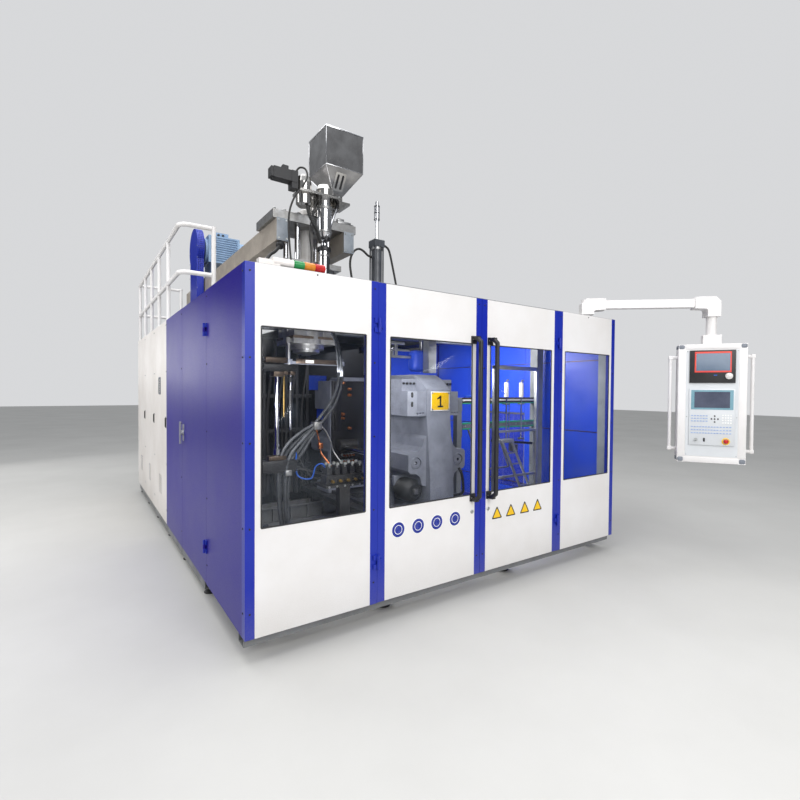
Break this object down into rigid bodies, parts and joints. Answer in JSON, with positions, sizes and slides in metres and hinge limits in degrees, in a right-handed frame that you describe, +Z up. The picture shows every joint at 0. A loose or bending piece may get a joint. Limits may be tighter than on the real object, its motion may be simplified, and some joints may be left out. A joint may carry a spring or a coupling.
{
  "type": "blow moulding machine",
  "caption": "Shuttle extrusion blow moulding machine in a blue and white enclosure with windows, roof-mounted extruder and head, guard rail and swivel control station.",
  "frame": {"origin": "underside of the datum levelling foot at the bed's front left corner, on the floor", "axes": "+X along the front to the right, +Y from the front to the back, +Z up"},
  "size_m": [4.5356, 6.6557, 3.922],
  "materials": {
    "frame_grey": "satin",
    "dark_steel": "satin",
    "blue_enamel": "gloss powder coat",
    "white_enamel": "satin powder coat",
    "light_grey_enamel": "satin powder coat",
    "clear_pane": "clear polycarbonate",
    "green_lens": "moulded",
    "amber_lens": "moulded",
    "red_lens": "moulded",
    "beige_paint": "satin",
    "machined_steel": "machined",
    "chrome_plate": "polished",
    "cylinder_white": "gloss",
    "band_steel": "stainless sheet",
    "motor_blue": "satin",
    "cast_aluminium": "machined",
    "black_plastic": "moulded",
    "stainless": "mirror sheet",
    "cylinder_grey": "satin",
    "hose_rubber": "matt",
    "platen_grey": "grey paint on casting",
    "control_grey": "moulded",
    "red_button": "moulded"
  },
  "bodies": {
    "machine": {"levelling_feet": "dark_steel", "bed_beams": "frame_grey", "clamp_bed": "frame_grey", "enclosure_posts": "blue_enamel", "enclosure_rails": "blue_enamel", "front_panels": "white_enamel", "front_windows": "clear_pane", "side_wall_panels": "blue_enamel", "cabinet_panels": "light_grey_enamel", "partition_wall": "blue_enamel", "roof_plates": "frame_grey", "inner_frame": "frame_grey", "guard_rail": "white_enamel", "signal_light_base": "light_grey_enamel", "signal_lens_green": "green_lens", "signal_lens_amber": "amber_lens", "signal_lens_red": "red_lens", "platform_beams": "beige_paint", "head_top_plate": "machined_steel", "head_guide_rods": "chrome_plate", "push_out_cylinder": "cylinder_white", "die_head": "machined_steel", "die_ring": "machined_steel", "heater_bands": "band_steel", "extruder_barrel": "machined_steel", "gear_reducer": "motor_blue", "belt_guard": "blue_enamel", "drive_motor": "motor_blue", "stripe_barrel": "chrome_plate", "stripe_gear_case": "cast_aluminium", "stripe_motor": "black_plastic", "hopper": "stainless", "blow_station_frame": "cast_aluminium", "blow_cylinder": "cylinder_grey", "hoses": "hose_rubber", "carriage_rails": "machined_steel", "valve_manifold": "cast_aluminium", "hinge_bodies": "blue_enamel", "hmi_base": "white_enamel"},
    "left_door": {"left_door_frame": "blue_enamel", "left_door_panel": "white_enamel", "left_door_window": "clear_pane", "left_door_handle": "black_plastic"},
    "right_door": {"right_door_frame": "blue_enamel", "right_door_panel": "white_enamel", "right_door_window": "clear_pane", "right_door_handle": "black_plastic"},
    "side_door": {"side_door": "blue_enamel"},
    "side_door_lever": {"side_door_lever": "cast_aluminium"},
    "carriage": {"carriage_frame": "dark_steel"},
    "front_platen": {"front_platen": "platen_grey", "tie_bars": "chrome_plate"},
    "rear_platen": {"rear_platen": "platen_grey"},
    "blow_pin": {"blow_pin": "chrome_plate"},
    "cutter": {"cutter_arm": "platen_grey"},
    "extruder_screw": {"extruder_screw": "machined_steel"},
    "swivel_arm": {"hmi_arm": "white_enamel"},
    "control_station": {"hmi_housing": "white_enamel", "hmi_controls": "control_grey"},
    "estop": {"estop_button": "red_button"}
  },
  "joints": [
    {"name": "left_door_hinge", "type": "hinge", "parent": "machine", "child": "left_door", "pos_m": [0.82, -1.205, 1.2], "axis": [0, 0, -1], "range_deg": [0, 110]},
    {"name": "right_door_hinge", "type": "hinge", "parent": "machine", "child": "right_door", "pos_m": [2.754, -1.205, 1.2], "axis": [0, 0, 1], "range_deg": [0, 110]},
    {"name": "side_door_hinge", "type": "hinge", "parent": "machine", "child": "side_door", "pos_m": [-0.095, -0.21, 1.2], "axis": [0, 0, 1], "range_deg": [0, 110]},
    {"name": "side_door_lock", "type": "hinge", "parent": "side_door", "child": "side_door_lever", "pos_m": [-0.08, 0.7, 1.22], "axis": [1, 0, 0], "range_deg": [0, 90]},
    {"name": "shuttle", "type": "slide", "parent": "machine", "child": "carriage", "axis": [1, 0, 0], "range_m": [-0.77, 0]},
    {"name": "clamp_front", "type": "slide", "parent": "carriage", "child": "front_platen", "axis": [0, 1, 0], "range_m": [0, 0.225]},
    {"name": "clamp_rear", "type": "slide", "parent": "carriage", "child": "rear_platen", "axis": [0, 1, 0], "range_m": [-0.225, 0]},
    {"name": "blow_pin_slide", "type": "slide", "parent": "machine", "child": "blow_pin", "axis": [0, 0, -1], "range_m": [0, 0.2]},
    {"name": "cutter_swing", "type": "hinge", "parent": "machine", "child": "cutter", "pos_m": [0.695, 0.14, 1.86], "axis": [0, 0, -1], "range_deg": [0, 60]},
    {"name": "screw_spin", "type": "hinge", "parent": "machine", "child": "extruder_screw", "pos_m": [0.908, 0.61, 2.56], "axis": [0, 1, 0], "continuous": true},
    {"name": "arm_swivel", "type": "hinge", "parent": "machine", "child": "swivel_arm", "pos_m": [3.338, -1.075, 2.48], "axis": [0, 0, 1], "range_deg": [-35, 85]},
    {"name": "station_swivel", "type": "hinge", "parent": "swivel_arm", "child": "control_station", "pos_m": [4.20438, -1.85236, 2.3], "axis": [0, 0, 1], "range_deg": [-90, 90]},
    {"name": "estop_press", "type": "slide", "parent": "control_station", "child": "estop", "axis": [0.8453, 0.5344, 0], "range_m": [0, 0.006], "stiffness_N_per_m": 1500}
  ],
  "couplings": [
    {"joint": "clamp_rear", "follows": "clamp_front", "ratio": -1}
  ]
}
